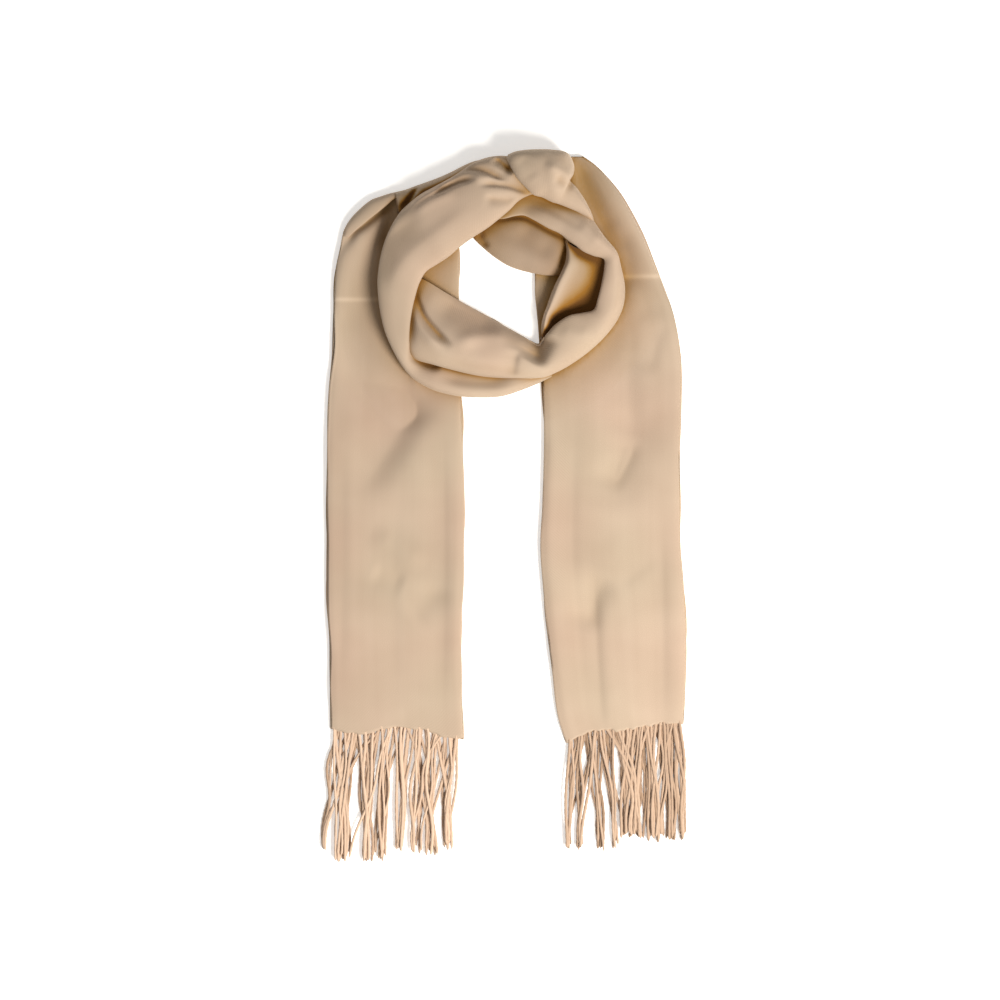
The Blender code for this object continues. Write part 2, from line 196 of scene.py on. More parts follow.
# in_x, in_y, out_x, out_y, share of the full height
TAIL_LEFT = [
    (-35, -207.5, -159, -207.5, 0.64),
    (-37, -172, -159.5, -172, 0.82),
    (-38, -136.5, -160, -136.5, 0.96),
    (-37, -95, -162, -95, 1),
    (-35.5, -48, -162.5, -48, 1),
    (-35, -2.5, -163, -2.5, 1),
    (-36, 43, -162.5, 43, 1),
    (-37, 88.5, -162, 88.5, 1),
    (-39, 145.5, -157, 145.5, 1),
    (-40, 201, -156, 201, 1),
    (-39, 222, -153.8, 222, 1),
    (-39, 239, -150, 240, 1),
    (-42, 251, -146.5, 257, 1),
    (-48, 261, -138.5, 268.5, 1),
    (-58, 270, -127, 277, 0.95),
    (-70, 277, -115, 284, 0.9),
    (-80, 283, -106, 290, 0.8),
]
HEM_LEFT = [
    (-159, -205), (-146, -208), (-133, -211), (-120, -207),
    (-93, -203.5), (-70, -205.5), (-57, -213), (-36, -214),
]
PACKING_LEFT = 192.6
# Creases: points along the line, depth, width to its left and to its right.
TAIL_LEFT_CREASES = [
    ([(-70, 122), (-84, 94), (-99, 68), (-111, 49), (-123, 31), (-139, 6)], 6.0, 17, 34),
    ([(-44, 100), (-58, 80), (-74, 56), (-88, 36), (-102, 14)], -2.6, 36, 20),
    ([(-122, -58), (-104, -64), (-88, -70)], 1.8, 8, 12),
    ([(-60, -66), (-68, -86), (-88, -104)], 3.0, 14, 16),
    ([(-122, -22), (-96, -38), (-68, -54)], -2.0, 10, 11),
    ([(-156, -52), (-112, -66), (-60, -80), (-30, -84)], 2.2, 30, 13),
    (
        [(-134, 236), (-141, 196), (-146, 160), (-138, 124), (-116, 100), (-92, 88), (-70, 90), (-50, 106)],
        6.5, 30, 13,
    ),
    ([(-160, 150), (-152, 206), (-145, 232), (-133, 250), (-122, 261), (-105, 276)], -3.0, 6, 12),
    (
        [(-152, 232), (-138, 254), (-129, 261), (-121, 267.5), (-113, 273.5), (-105, 280), (-94, 288)],
        6.2, 5, 5,
    ),
    ([(-104, 288), (-103, 272), (-106, 254), (-112, 232)], 4.0, 7, 7),
    ([(-168, 206), (-167, 130), (-165, 40)], 2.4, 30, 30),
    ([(-150, 90), (-149, -40), (-151, -200)], 1.3, 6, 14),
    ([(-56, 100), (-54, -30), (-56, -210)], 1.9, 6, 16),
    ([(-98, 30), (-101, -60), (-98, -210)], 0.9, 7, 16),
]


def smooth_curve(rows, t):
    """Rows of numbers on a smooth curve through the given ones, which lie at t = 0, 1, 2...

    Between rows b and c, with a before and d after them, the row at a share t is
    (2b + (c - a)t + (2a - 5b + 4c - d)t^2 + (3b - a - 3c + d)t^3) / 2.
    """
    padded = np.vstack([2 * rows[0] - rows[1], rows, 2 * rows[-1] - rows[-2]])
    i = np.clip(t.astype(int), 0, len(rows) - 2)
    t = (t - i)[:, None]
    a, b, c, d = (padded[i + k] for k in range(4))
    square, cube = 2 * a - 5 * b + 4 * c - d, 3 * b - a - 3 * c + d
    return 0.5 * (2 * b + (c - a) * t + square * t**2 + cube * t**3)


def even_rows(rows, step):
    """Rows on the smooth curve through the given ones, about one step apart.

    A row starts with x and y of both edges. The curve's parameter is stretched so that
    the edge that moves on further goes the same length from each row to the next.
    """
    rows = np.array(rows, float)
    last = len(rows) - 1
    fine = np.linspace(0, last, 80 * last + 1)
    moves = np.diff(smooth_curve(rows, fine), axis=0)
    pace = np.maximum(np.hypot(moves[:, 0], moves[:, 1]), np.hypot(moves[:, 2], moves[:, 3]))
    creep = 1e-6 * (rows.shape[1] // 2)  # a hair for each pair of columns, so that the run grows
    run = np.concatenate([[0], np.cumsum(pace + creep)])
    count = max(3, int(round(run[-1] / step)) + 1)
    return smooth_curve(rows, np.interp(np.linspace(0, run[-1], count), run, fine))


def crease_height(x, y, creases):
    """How far the creases lower a surface at each (x, y).

    Each crease is a smooth line. Its depth falls off as exp(-(d/w)^2) with the
    distance d from the line, with a width w of its own on either side. Over the last
    0.3 of the line at each end it fades to nothing as 3 f^2 - 2 f^3.
    """
    total = np.zeros_like(x)
    for points, depth, left, right in creases:
        line = even_rows([(px, py, px, py) for px, py in points], CREASE_STEP)[:, :2]
        nearest = np.full(x.shape, np.inf)
        side = np.zeros_like(x)
        along = np.zeros_like(x)
        for i in range(len(line) - 1):
            run = line[i + 1] - line[i]
            t = ((x - line[i, 0]) * run[0] + (y - line[i, 1]) * run[1]) / (run @ run)
            t = np.clip(t, 0, 1)
            off_x = x - line[i, 0] - t * run[0]
            off_y = y - line[i, 1] - t * run[1]
            off = np.hypot(off_x, off_y)
            nearer = off < nearest
            nearest = np.where(nearer, off, nearest)
            side = np.where(nearer, run[0] * off_y - run[1] * off_x, side)
            along = np.where(nearer, (i + t) / (len(line) - 1), along)
        width = np.where(side > 0, left, right)
        fade = np.clip(np.minimum(along, 1 - along) / CREASE_FADE, 0, 1)
        total += depth * (3 - 2 * fade) * fade**2 * np.exp(-((nearest / width) ** 2))
    return total


def ripple(x, y, size, seed):
    """Soft unevenness, mostly from -1 to 1: a quarter of the sum of seven sine waves.

    Each runs its own way, with a length of 0.6 to 1.9 times the size.
    """
    draw = np.random.default_rng(seed)
    total = np.zeros(np.broadcast(x, y).shape)
    for _ in range(7):
        turn = draw.uniform(0, np.pi)
        length = size * draw.uniform(0.6, 1.9)
        phase = draw.uniform(0, 2 * np.pi)
        total += np.sin(2 * np.pi * (x * np.cos(turn) + y * np.sin(turn)) / length + phase)
    return total / 4


def mark_points(mesh, mark, values):
    """Stores one value for each point of a mesh, in an attribute named by the mark."""
    mesh.attributes.new(mark, "FLOAT", "POINT").data.foreach_set("value", values.ravel())


def smooth_mesh(name, points, faces, lengths, mark, values, material):
    """A smooth-shaded mesh object, with one marked value for each point.

    The points are in millimetres, as are the lengths for its UV map, in metres there.
    """
    mesh = bpy.data.meshes.new(name)
    mesh.from_pydata((points.reshape(-1, 3) * MM).tolist(), [], faces)
    corner = np.empty(len(mesh.loops), np.int32)
    mesh.loops.foreach_get("vertex_index", corner)
    uv = lengths.reshape(-1, 2)[corner] * MM
    mesh.uv_layers.new(name="lengths").data.foreach_set("uv", uv.ravel())
    mesh.polygons.foreach_set("use_smooth", np.ones(len(mesh.polygons), bool))
    mark_points(mesh, mark, values)
    mesh.materials.append(material)
    return new_object(name, mesh)


def cloth_mesh(name, points, material, offset=-1.0, upward=None, packing=NO_PACKING):
    """Cloth over a grid of points, with its own lengths as its UV map.

    U is the mean length across the grid and V the mean length along it. The quads are
    turned so that the upward column, or else the middle one, faces up. The attribute
    "press" holds how far each point lies along Y from the packing line, which places the
    painted highlight along that line. The cloth's thickness goes in from the faces, or
    half to each side at an offset of 0.
    """
    rows, columns = points.shape[:2]
    index = np.arange(rows * columns).reshape(rows, columns)
    quads = np.stack([index[:-1, :-1], index[:-1, 1:], index[1:, 1:], index[1:, :-1]], -1)
    column = columns // 2 if upward is None else upward
    row = rows // 2
    across = points[row, column + 1] - points[row, column]
    along = points[row + 1, column] - points[row, column]
    if np.cross(across, along)[2] < 0:
        quads = quads[..., ::-1]
    u = np.cumsum(np.linalg.norm(np.diff(points, axis=1), axis=2).mean(0))
    v = np.cumsum(np.linalg.norm(np.diff(points, axis=0), axis=2).mean(1))
    u, v = np.concatenate([[0], u]), np.concatenate([[0], v])
    flat = np.stack(np.broadcast_arrays(u[None, :], v[:, None]), -1)
    away = points[..., 1] - packing
    faces = quads.reshape(-1, 4).tolist()
    piece = smooth_mesh(name, points, faces, flat, "press", away, material)
    thick = piece.modifiers.new("cloth", "SOLIDIFY")
    thick.thickness = CLOTH * MM
    thick.offset = offset
    thick.use_even_offset = False
    return piece


def fold_section():
    """The section across a tail, from its lowest layer up.

    Each point has its share of the width, its height, how far a fold takes it past the
    edge, and its layer. A fold is a half circle, a layer's pitch high.
    """
    radius = TAIL_PITCH / 2
    turn = np.linspace(-np.pi / 2, np.pi / 2, FOLD_POINTS + 2)[1:-1]
    points = []
    for layer in range(TAIL_LAYERS):
        top = layer == TAIL_LAYERS - 1
        centre = CLOTH / 2 + layer * TAIL_PITCH
        across = np.linspace(0, 1, TOP_COLUMNS if top else HIDDEN_COLUMNS)
        if layer % 2:
            across = 1 - across
        points += [(share, centre, 0, layer) for share in across]
        if not top:
            edge = across[-1]
            out = radius if edge else -radius
            points += [(edge, centre + radius + radius * np.sin(a), out * np.cos(a), layer) for a in turn]
    return np.array(points).T


def folded_stack(rows, creases, hem, seed):
    """A tail: one cloth folded to and fro in five layers.

    Each layer runs across from one edge to the other, where a half circle takes it up
    to the next. Its folds sit a little in from the outline, by an amount that wanders
    along the tail. The creases, a soft ripple and a press of 1.3 exp(-(d/4)^2), at a
    distance d from either edge, lower all layers in proportion to their height. The
    lower ones go down by 0.35 of that dip more, and their middles lie at least 1.1 of
    the cloth's thickness apart, but none goes into the floor. Near the hem each point
    moves along Y towards the hem's own line, by a share exp(-(distance/16)^2), and each
    layer's hem waves by 1.5 exp(-distance/5).
    """
    run = even_rows(rows, TAIL_STEP)
    place = np.concatenate([[0], np.cumsum(np.hypot(*np.diff(run[:, 0:2], axis=0).T))])
    share, height, shift, level = fold_section()
    width = np.hypot(run[:, 2] - run[:, 0], run[:, 3] - run[:, 1])[:, None]
    wander = np.zeros((len(run), len(share)))
    for k in range(TAIL_LAYERS):  # each layer has ripples of its own
        in_edge = FOLD_SET_IN + ripple(place, 37.0 * k, 70, seed + k)
        out_edge = FOLD_SET_IN + ripple(place, 53.0 * k, 90, seed + 20 + k)
        drift = np.where(share < 0.5, in_edge[:, None], -out_edge[:, None])
        wander = np.where(level == k, drift, wander)
    at_edge = 1 - np.clip(np.minimum(share, 1 - share) * 6, 0, 1)  # over the outer sixths
    w = share + (shift + wander * at_edge) / width
    x = run[:, 0:1] + (run[:, 2:3] - run[:, 0:1]) * w
    y = run[:, 1:2] + (run[:, 3:4] - run[:, 1:2]) * w
    inside = np.sin(np.pi * share) ** 0.4
    dip = crease_height(x, y, creases) * inside
    dip += TAIL_RIPPLE * ripple(x, y * 0.45, 55, seed + 50) * inside
    edge = np.maximum(np.minimum(w, 1 - w), 0) * width
    dip += EDGE_PRESS * np.exp(-((edge / EDGE_REACH) ** 2))
    press = run[:, 4:5] * (1 - np.clip(dip, -HIGHEST_RIDGE, DEEPEST_CREASE) / TAIL_TOP)
    below = (height[-1] - height) / TAIL_PITCH
    deeper = LOWER_DIP * np.maximum(dip, 0) * np.minimum(below, 1)
    z = np.minimum(height * press, height[-1] * press - LAYER_GAP * CLOTH * below) - deeper
    z = np.maximum(z, CLOTH / 2)
    hem_x, hem_y = np.array(hem).T
    y += (np.interp(x, hem_x, hem_y) - y[:1]) * np.exp(-((place[:, None] / HEM_REACH) ** 2))
    y += HEM_WAVE * np.exp(-place[:, None] / 5) * ripple(x, level * 31.0, 7, seed + 70)
    return np.stack([x, y, z], -1)


def wool_twill(name, lit, dull, fold_shade_weight):
    """Soft twill of fine wool and viscose: matt, with a low sheen, faint slubs along the
    warp, a fine diagonal rib and a short nap.

    Its pattern follows the cloth's own lengths. It has a painted highlight along the packing
    line, by exp(-(distance/width)^2), and painted shade: its colour is multiplied by the tint
    for how much sky the heap hides from it, times its weight of painted fold shade.
    """
    finish = {
        "Roughness": 0.88,
        "Sheen Weight": 0.25,
        "Sheen Roughness": 0.45,
        "Sheen Tint": linear("#FFE9CC"),
        "Specular IOR Level": 0.25,
    }
    material, tree, shader = new_material(name, finish)
    cloth = {"Vector": add_node(tree, "ShaderNodeTexCoord").outputs["UV"]}
    warp_scale = (1000 / SLUB_MM, 1000 / (SLUB_LENGTH * SLUB_MM), 1)
    warp_way = add_node(tree, "ShaderNodeMapping", {"Scale": warp_scale}, cloth)
    slub = add_node(
        tree,
        "ShaderNodeTexNoise",
        {"Scale": 1.0, "Detail": 2.0, "Roughness": 0.5},
        {"Vector": warp_way.outputs["Vector"]},
    )
    cloud = add_node(tree, "ShaderNodeTexNoise", {"Scale": CLOUDS_PER_METRE, "Detail": 2.0}, cloth)
    tone = add_node(
        tree,
        "ShaderNodeMix",
        {".data_type": "FLOAT", "Factor": 0.7},
        {"A": slub.outputs["Fac"], "B": cloud.outputs["Fac"]},
    )
    tones = add_node(
        tree, "ShaderNodeValToRGB", None, {"Fac": tone.outputs[0]}, [(0.25, dull), (0.75, lit)]
    )
    drift = add_node(tree, "ShaderNodeTexNoise", {"Scale": CASTS_PER_METRE, "Detail": 1.0}, cloth)
    cast_stops = [(0.35, GREEN_CAST), (0.65, ROSE_CAST)]
    casts = add_node(tree, "ShaderNodeValToRGB", None, {"Fac": drift.outputs["Fac"]}, cast_stops)
    multiply = {".data_type": "RGBA", ".blend_type": "MULTIPLY", "Factor": 1.0}
    dyed = add_node(
        tree, "ShaderNodeMix", multiply, {6: tones.outputs["Color"], 7: casts.outputs["Color"]}
    )
    times = {".operation": "MULTIPLY"}
    # painted highlight: the colour is lighter along the packing line
    press = add_node(tree, "ShaderNodeAttribute", {".attribute_name": "press"}).outputs["Fac"]
    square = add_node(tree, "ShaderNodeMath", times, {0: press, 1: press})
    spread = add_node(
        tree, "ShaderNodeMath", {**times, 1: -1 / CREASE_HIGHLIGHT_MM**2}, {0: square.outputs[0]}
    )
    line = add_node(tree, "ShaderNodeMath", {".operation": "EXPONENT"}, {0: spread.outputs[0]})
    share = add_node(tree, "ShaderNodeMath", {**times, 1: CREASE_HIGHLIGHT_SHARE}, {0: line.outputs[0]})
    crease_highlight = add_node(
        tree,
        "ShaderNodeMix",
        {".data_type": "RGBA", 7: linear(CREASE_HIGHLIGHT_CREAM)},
        {"Factor": share.outputs[0], 6: dyed.outputs[2]},
    )
    # painted shade: the colour is darkened towards ochre by the fold shade mask
    painted_fold_shade = add_node(tree, "ShaderNodeAttribute", {".attribute_name": "painted_fold_shade"}).outputs["Fac"]
    fold_shade_amount = add_node(tree, "ShaderNodeMath", {**times, 1: fold_shade_weight}, {0: painted_fold_shade})
    fold_shade_tints = add_node(tree, "ShaderNodeValToRGB", None, {"Fac": fold_shade_amount.outputs[0]}, FOLD_SHADE_TINTS)
    deep = add_node(
        tree, "ShaderNodeMix", multiply, {6: crease_highlight.outputs[2], 7: fold_shade_tints.outputs["Color"]}
    )
    tree.links.new(deep.outputs[2], shader.inputs["Base Color"])
    rib = add_node(
        tree,
        "ShaderNodeTexWave",
        {
            ".wave_type": "BANDS",
            ".bands_direction": "DIAGONAL",
            "Scale": WAVE_SCALE / WARP_PITCH_MM,  # a rib for every second thread
            "Distortion": 1.6,
            "Detail": 2.0,
            "Detail Scale": 2.0,
        },
        cloth,
    )
    fuzz = {"Scale": NAP_PER_METRE, "Detail": 4.0, "Roughness": 0.7}
    nap = add_node(tree, "ShaderNodeTexNoise", fuzz, cloth)
    relief = add_node(
        tree,
        "ShaderNodeMix",
        {".data_type": "FLOAT", "Factor": 0.55},
        {"A": rib.outputs["Fac"], "B": nap.outputs["Fac"]},
    )
    raised = {"Strength": 0.35, "Distance": 0.0004}
    bump = add_node(tree, "ShaderNodeBump", raised, {"Height": relief.outputs[0]})
    tree.links.new(bump.outputs["Normal"], shader.inputs["Normal"])
    return material


# painted shade: the twill copies differ only in how strongly the fold shade is painted; this one at 0.52
shaded_twill = wool_twill("shaded_wool_viscose_twill", LIT_CREAM, DULL_CREAM, 0.52)
left_stack = folded_stack(TAIL_LEFT, TAIL_LEFT_CREASES, HEM_LEFT, 11)
tail_left = cloth_mesh(
    "left_tail_cloth", left_stack, shaded_twill, offset=0.0, upward=-20, packing=PACKING_LEFT
)
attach(tail_left, "root")
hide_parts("tail_left")

# Right tail: the other end, folded in the same way. It lies under the loop up to
# the top of the outline, and its inner edge is seen through the neck hole.
TAIL_RIGHT = [
    (60, -220.5, 168.5, -199.5, 0.64),
    (52.5, -192, 169, -178, 0.8),
    (46, -150, 170, -146, 0.95),
    (41.5, -113.5, 170.5, -113.5, 1),
    (38, -74, 168, -74, 1),
    (36, -34.5, 165.5, -34.5, 1),
    (37.5, 9, 165, 9, 1),
    (40, 53, 164.5, 53, 1),
    (39, 88, 166, 90, 1),
    (37, 122.5, 166.5, 125.5, 1),
    (35, 152, 164, 152, 1),
    (33, 181, 159, 179, 1),
    (31.5, 206, 151, 201, 1),
    (34, 247.5, 135, 242, 1),
    (42, 272, 122.5, 268, 1),
    (48, 290, 111, 288.5, 1),
    (55, 306, 98.5, 305, 1),
    (60, 318, 87, 316.5, 0.95),
    (65, 325, 75, 325, 0.8),
]
HEM_RIGHT = [
    (58, -219), (68, -214), (79, -208), (95, -206.5),
    (120, -205.5), (136, -202), (152, -199.5), (168, -200.5),
]
PACKING_RIGHT = 214.0
TAIL_RIGHT_CREASES = [
    ([(84, -50), (88, -150), (94, -230)], 2.4, 6, 18),
    ([(96, -58), (84, -88), (74, -118)], 4.2, 12, 20),
    ([(146, 0), (148, -120), (149, -230)], 2.2, 7, 16),
    ([(104, -74), (124, -58), (144, -44)], 1.4, 20, 9),
    ([(124, 66), (115, 44), (106, 26), (100, 12)], 3.0, 8, 18),
    ([(138, 100), (124, 60), (110, 24), (98, -8)], 4.2, 20, 30),
    ([(122, 190), (115, 125), (117, 85), (122, 46)], 3.6, 13, 26),
    ([(150, 176), (141, 148), (134, 120)], 2.4, 8, 14),
    ([(96, 236), (108, 200), (112, 176), (104, 156), (80, 130), (52, 112)], 1.8, 12, 9),
    ([(108, 262), (113, 240), (116, 222), (117, 196)], 3.6, 11, 17),
    ([(60, 336), (69, 312), (77, 294), (89, 272), (100, 250), (106, 232)], 6.6, 14, 10),
    ([(156, 176), (142, 216), (128, 246), (114, 272), (96, 302), (84, 318)], -4.4, 13, 9),
    ([(86, 209), (130, 209.5), (178, 210)], 2.4, 7, 26),
    ([(120, 172), (136, 184), (156, 188)], 1.4, 12, 12),
    ([(46, 120), (45, -40), (62, -220)], -1.6, 14, 6),
    ([(66, 110), (64, -40), (78, -200)], 1.3, 7, 14),
]
# painted shade: the right tail's copy paints the fold shade at 0.75
right_tail_twill = wool_twill("wool_viscose_twill_some_fold_shade", LIT_CREAM, DULL_CREAM, 0.75)
right_stack = folded_stack(TAIL_RIGHT, TAIL_RIGHT_CREASES, HEM_RIGHT, 31)
tail_right = cloth_mesh(
    "right_tail_cloth", right_stack, right_tail_twill, offset=0.0, upward=-20, packing=PACKING_RIGHT
)
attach(tail_right, "root")
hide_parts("tail_right")

# Shoulder fold: the left tail turned over at the top, with its edge along the
# outline. The loop's left band covers its inner side.
BAND_SET_IN = 1.1  # of a band's lower layers from its outline, on average
BAND_WANDER = 1.6
MOST_SET_IN = 3.4
BULGE_DEPTH = 2.0
BULGE_POINTS = 7  # down the edge of each layer
PUCKER = 0.7
NARROW = 14.0  # a band narrower than this has its edges set in less
LOWEST_REST = 1.1
# in_x, in_y, in_z, out_x, out_y, out_z, height of the crown, its share of the width, and
# the heights that the inner and the outer edge rest on
SHOULDER_FOLD = [
    (-142, 250, 7.5, -146.8, 251, 5, 8.6, 0.4, 5, 1.1),
    (-137.5, 254.5, 8.5, -145, 260, 5, 10, 0.32, 7, 1.1),
    (-129, 261.5, 9, -139, 269, 5, 12, 0.26, 7, 1.1),
    (-121.3, 267.7, 9.5, -130.5, 277.6, 5, 13, 0.25, 7, 1.1),
    (-113.4, 273.8, 9.5, -121.3, 284.8, 5, 13, 0.25, 6, 1.1),
    (-107, 279.2, 9.5, -112, 288.3, 5, 13, 0.25, 5, 1.1),
    (-100.5, 284.8, 9, -103.5, 291, 5, 12, 0.3, 5, 1.1),
    (-93, 288, 8, -94, 293, 5, 11, 0.35, 5, 1.1),
    (-86, 290, 7, -86, 294, 5, 9, 0.4, 5, 1.1),
]


def even_rows_in_space(rows, step):
    """As even_rows, for rows that start with two points in space."""
    rows = np.array(rows, float)
    order = [0, 1, 3, 4, 2, 5, *range(6, rows.shape[1])]
    return even_rows(rows[:, order], step)[:, np.argsort(order)]


def wound_band(rows, creases, layers=3, step=2.4, top_points=44, seed=0, rough=0.5, full=2.2):
    """A band of the loop: a crowned top whose edges roll down into layered folds.

    Across the top, at the share w = (1 - cos a) / 2, the height is that of the line
    between both edges plus (crown - line) * (1 - |2 w^k - 1|^f)^(1/f), where k puts the
    crown at its own share and f says how full the top is. The creases and a soft ripple
    lower it. From each edge a skirt goes down to what the band rests on, in as many
    bulges as it has layers. Between two of them it goes in by 2 mm, and each layer is
    set in by an amount that wanders along the band.
    """
    run = even_rows_in_space(rows, step)
    inner, outer = run[:, None, 0:3], run[:, None, 3:6]
    crown, lean, rest_in, rest_out = (run[:, i : i + 1] for i in range(6, 10))
    place = np.arange(len(run)) * step
    w = 0.5 - 0.5 * np.cos(np.linspace(0, np.pi, top_points))
    bent = w ** (np.log(0.5) / np.log(lean))
    hump = np.clip(1 - np.abs(2 * bent - 1) ** full, 0, 1) ** (1 / full)
    top = inner + (outer - inner) * w[:, None]
    top[..., 2] += (crown - top[..., 2]) * hump
    top[..., 2] -= crease_height(top[..., 0], top[..., 1], creases) * np.sqrt(hump)
    top[..., 2] += rough * hump * ripple(top[..., 0], top[..., 1], 42, seed)
    across = (outer - inner)[:, 0, :2]
    width = np.linalg.norm(across, axis=1, keepdims=True)
    across = across / width
    down = np.linspace(0, 1, BULGE_POINTS * layers)[1:]
    phase = 0.5 + down * (layers - 0.5)
    number = np.floor(phase)
    bulge = np.sin(np.pi * (phase - number)) ** 0.5
    sides = []
    for edge, rest, sign, key in ((inner, rest_in, 1, 60), (outer, rest_out, -1, 80)):
        inset = np.zeros((len(run), len(down)))
        for k in range(1, layers + 1):
            drift = BAND_SET_IN + BAND_WANDER * ripple(place, 41.0 * k, 60, seed + key + k)
            inset = np.where(number == k, np.clip(drift, 0, MOST_SET_IN)[:, None], inset)
        inset += BULGE_DEPTH * (1 - bulge)
        inset += PUCKER * np.sin(np.pi * down) * ripple(place[:, None], 34.0 * down, 30, seed + key + 9)
        inset *= np.minimum(1, width / NARROW)
        side = np.empty((len(run), len(down), 3))
        side[..., :2] = edge[..., :2] + sign * across[:, None, :] * inset[..., None]
        foot = np.clip(rest, LOWEST_REST, edge[:, :, 2])
        side[..., 2] = edge[..., 2] + (foot - edge[..., 2]) * down
        sides.append(side)
    return np.concatenate([sides[0][:, ::-1], top, sides[1]], axis=1)


def add_band(name, rows, creases, material, nodes, **form):
    """One band of the loop, which rides on the shawl and stands for its solids."""
    piece = cloth_mesh(name, wound_band(rows, creases, **form), material)
    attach(piece, "root")
    if nodes:
        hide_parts(*nodes)
    return piece


# painted shade: the loop's bands paint the fold shade at 0.9
twill = wool_twill("soft_wool_viscose_twill", LIT_CREAM, DULL_CREAM, 0.9)
shoulder = add_band(
    "shoulder_fold_cloth", SHOULDER_FOLD, [], twill, ["shoulder_fold"], layers=2, seed=3, rough=0.2
)

# Shoulder strip: the next layer of the same fold, a narrow slope along the outline
# that ends in a small lit corner over the hollow beside the loop.
SHOULDER_STRIP = [
    (-96, 272, 8, -100, 290.5, 4, 9.5, 0.5, 7, 1.1),
    (-94.8, 272, 13, -98.7, 291.8, 4, 15.5, 0.5, 7, 1.1),
    (-92, 272, 15, -96, 292.8, 4, 18, 0.5, 5, 1.1),
    (-85, 274, 16, -89.5, 294.4, 3.5, 19, 0.4, 5, 1.1),
    (-76, 280, 17, -80.8, 297.7, 3, 19, 0.3, 5, 1.1),
    (-66, 286, 18, -72, 300.8, 2.5, 19.5, 0.2, 5, 1.1),
    (-54, 292, 18, -58, 306, 2.5, 20, 0.16, 5, 1.1),
    (-43, 298, 18, -46.3, 311.3, 2.5, 20, 0.16, 5, 1.1),
    (-33, 304, 18, -35.6, 316.8, 3, 20, 0.18, 5, 1.1),
    (-23, 310, 17, -25.5, 320.8, 4, 19, 0.25, 5, 1.1),
    (-12, 314, 14, -13, 323, 5, 16, 0.4, 5, 1.1),
]
STRIP_CREASES = [([(-77, 299), (-82, 290), (-88, 281), (-93, 274)], 4.5, 3, 2.4)]
# painted shade: this copy paints the fold shade at 2.9, for the deep folds of the strip and the pocket
strong_shade_twill = wool_twill("wool_viscose_twill_strong_fold_shade", LIT_CREAM, DULL_CREAM, 2.9)
strip = add_band(
    "shoulder_strip_cloth", SHOULDER_STRIP, STRIP_CREASES, strong_shade_twill, [], layers=2, seed=4
)

# Nape stretch: the broad part of the shawl that lies behind the neck, between the left
# side of the loop and the right tail. It is seen through the neck hole.
NAPE = [
    (-29, 252, 5, -24, 266, 6, 10, 0.45, 1.1, 1.1),
    (-21.5, 244, 6, -12, 272, 6, 12.5, 0.4, 1.1, 1.1),
    (-12, 235.5, 6, 0, 276, 5, 14, 0.34, 1.1, 1.1),
    (-3, 228.8, 6.5, 9, 277, 5, 15, 0.31, 1.1, 1.1),
    (7, 223, 7, 19, 277, 5, 15.5, 0.3, 1.1, 1.1),
    (18.5, 219, 8, 29, 274, 6, 16, 0.3, 1.1, 1.1),
    (30.5, 216.3, 11, 40, 270, 8, 17, 0.32, 8, 8),
    (43, 214.4, 12, 52, 262, 10, 17, 0.34, 8, 8),
    (54, 214.5, 11, 64, 254, 10, 15.5, 0.38, 8, 8),
    (66, 216, 9.5, 78, 246, 9, 12, 0.45, 8, 8),
]
NAPE_CREASES = [
    (
        [(-12, 266), (0, 267), (12, 269), (22, 268), (32, 263), (44, 256), (56, 250), (66, 243)],
        3.5, 3, 2.5,
    ),
    ([(-22, 258), (-19, 248), (-12, 240)], 4, 3, 3.5),
    ([(14, 262), (26, 250), (38, 240), (50, 234)], 2.4, 10, 9),
    ([(66, 247), (58, 234), (55, 216)], 3.5, 5, 3),
    ([(-8, 250), (8, 240), (26, 230), (44, 222)], -0.9, 8, 8),
]
# painted shade: the nape's copy is darker all over, for its place low in the loop, and paints the fold
# shade at 0.85
nape_shaded_twill = wool_twill("wool_viscose_twill_painted_darker", DULL_CREAM, "#978370", 0.85)
nape = add_band("nape_cloth", NAPE, NAPE_CREASES, nape_shaded_twill, ["nape_stretch"], layers=2, seed=5)

# Inner fold: an S-shaped ridge beside the hole, with a deep pocket between it and
# the right side of the loop. Its edge at the hole is two layers thick.
POCKET_ROWS = 60
POCKET_COLUMNS = 49
POCKET_LAYERS = 2
# Five points across each row, x, y, z: the rolled edge, the ridge, the slope, the
# pocket and the edge that goes under the loop.
INNER_FOLD = [
    [(58, 247, 17), (61, 244, 22.5), (68, 240, 21.5), (76, 238, 20.5), (86, 240, 21)],
    [(59.5, 238, 19), (62.5, 236, 24.5), (71, 233, 22), (83, 231, 20.2), (98, 232, 22.5)],
    [(58.5, 227, 20), (63, 227.5, 26), (75, 225, 22.5), (88, 222, 19.6), (101, 222, 23)],
    [(54, 216, 20), (59, 217.5, 26), (71, 214, 22), (86, 210, 18.8), (101, 208, 23)],
    [(49, 206, 20), (54.5, 208, 26), (67, 204, 20.5), (82, 199, 16.6), (98, 194, 21.5)],
    [(44.5, 195, 19), (50, 197, 25.5), (62, 193, 18.5), (76, 188, 13.6), (92, 182, 17)],
    [(41, 185, 18), (45.5, 186.5, 25), (55, 182, 17.5), (69, 177, 12.8), (82, 170, 14)],
    [(37.9, 176, 17), (41.5, 177, 25), (49, 172.5, 14.5), (60, 167, 11.5), (72, 160, 12)],
    [(36, 166, 15), (39, 166.5, 23), (44.5, 163.5, 17), (51, 159.5, 14), (60, 153, 13)],
    [(36, 154.5, 4), (37, 154, 7), (40, 152, 9), (44, 149, 10), (50, 145, 12)],
]


def resample(points, count):
    """Equally many steps between each two points on a smooth curve through them."""
    return smooth_curve(points, np.linspace(0, len(points) - 1, count))


def free_form(rows, along, across):
    """A smooth surface through a net of points.

    A smooth curve goes through each row of the net, and then smooth curves go through
    the places of equal share on all those curves.
    """
    wide = np.stack([resample(row, across) for row in np.array(rows, float)])
    return np.stack([resample(wide[:, i], along) for i in range(across)], axis=1)


